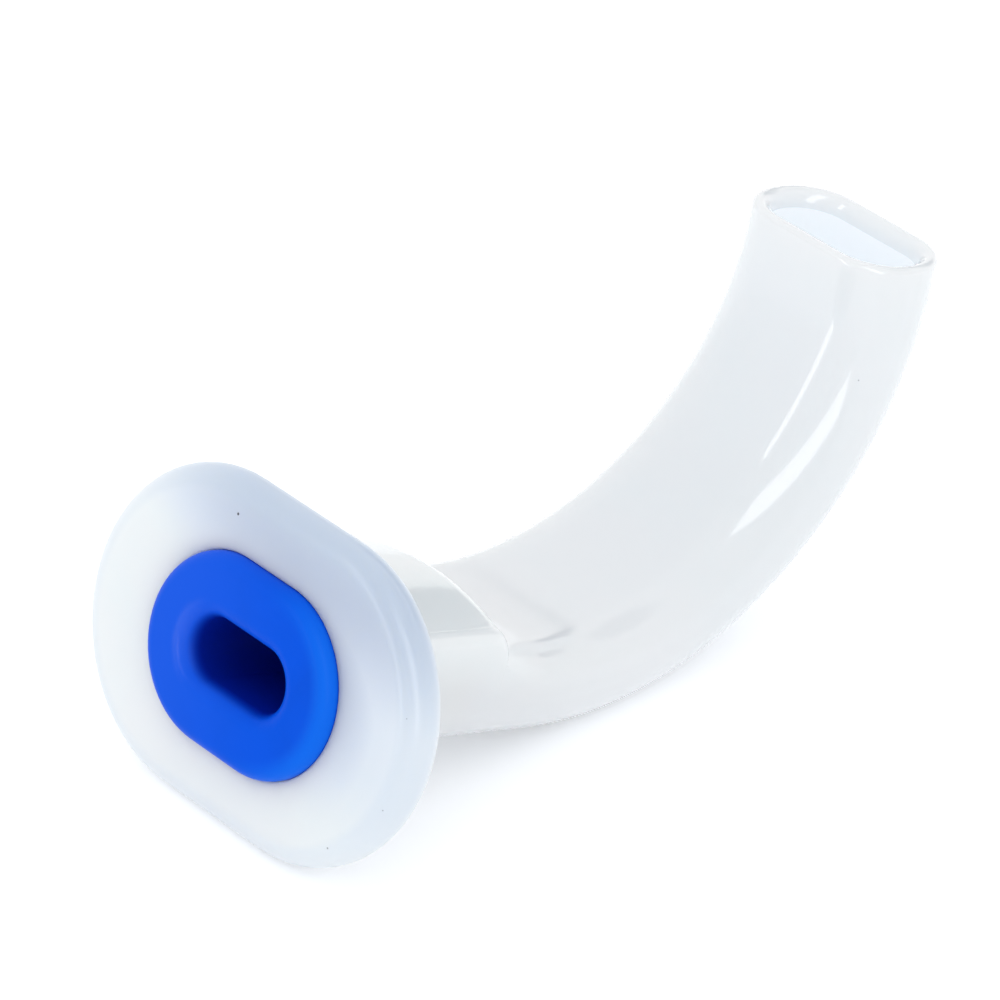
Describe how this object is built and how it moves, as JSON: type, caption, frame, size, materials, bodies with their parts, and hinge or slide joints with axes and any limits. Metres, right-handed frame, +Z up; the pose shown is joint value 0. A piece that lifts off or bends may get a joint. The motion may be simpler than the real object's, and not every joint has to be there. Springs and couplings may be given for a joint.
{
  "type": "oropharyngeal airway",
  "caption": "Curved oropharyngeal airway: milky tube with an oval flange at the mouth end, a stepped bite section and a hard blue bite insert with an oval bore.",
  "frame": {"origin": "on the table, below the middle of the airway's bounding box, as it stands on the flange's lower edge and the belly of the bend", "axes": "+Z up, +Y from the flange towards the tip, along the table, +X across; the airway is symmetric about X = 0, and its bite axis points 17.3 degrees below +Y"},
  "size_m": [0.029, 0.0544, 0.0242],
  "materials": {
    "milky_polyethylene": "smooth, softly glossy, milky translucent",
    "blue_insert": "satin, coloured through"
  },
  "bodies": {
    "root": {"airway_body": "milky_polyethylene", "bite_insert": "blue_insert"}
  },
  "joints": []
}
